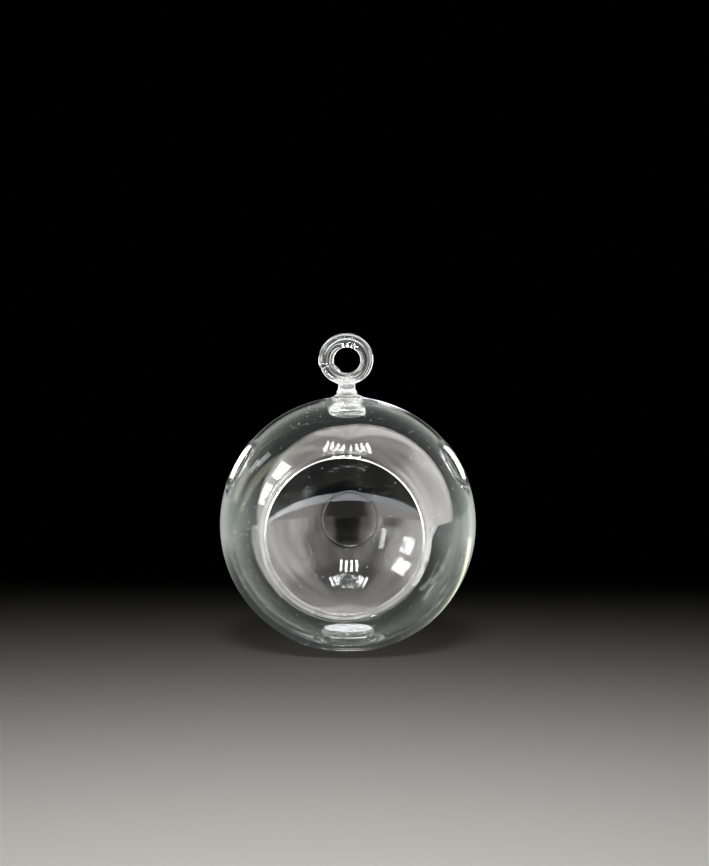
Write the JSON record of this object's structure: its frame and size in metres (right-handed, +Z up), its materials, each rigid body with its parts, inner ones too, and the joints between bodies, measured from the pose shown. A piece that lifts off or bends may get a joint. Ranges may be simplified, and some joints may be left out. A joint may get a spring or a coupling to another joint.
{
  "type": "glass globe terrarium",
  "caption": "Clear blown glass globe with a large round front mouth, small vents high on its sides, a foot ring to stand on and a solid glass ring on top to hang it by.",
  "frame": {"origin": "on the surface that the globe stands on, under the middle of its width and depth", "axes": "+Z up through the hanging ring, -Y out of the front mouth, +X to the right as seen from the front"},
  "size_m": [0.1, 0.0894, 0.1226],
  "materials": {
    "blown_glass": "clear blown borosilicate, fire-polished",
    "solid_glass": "clear solid borosilicate rod, flame-worked"
  },
  "bodies": {
    "root": {"globe_shell": "blown_glass", "mouth_rim": "blown_glass", "left_vent_rim": "blown_glass", "right_vent_rim": "blown_glass", "base": "blown_glass", "crown_pad": "solid_glass", "hanger_foot": "solid_glass", "hanger_collar": "solid_glass", "hanger_neck": "solid_glass", "hanging_ring": "solid_glass"}
  },
  "joints": []
}
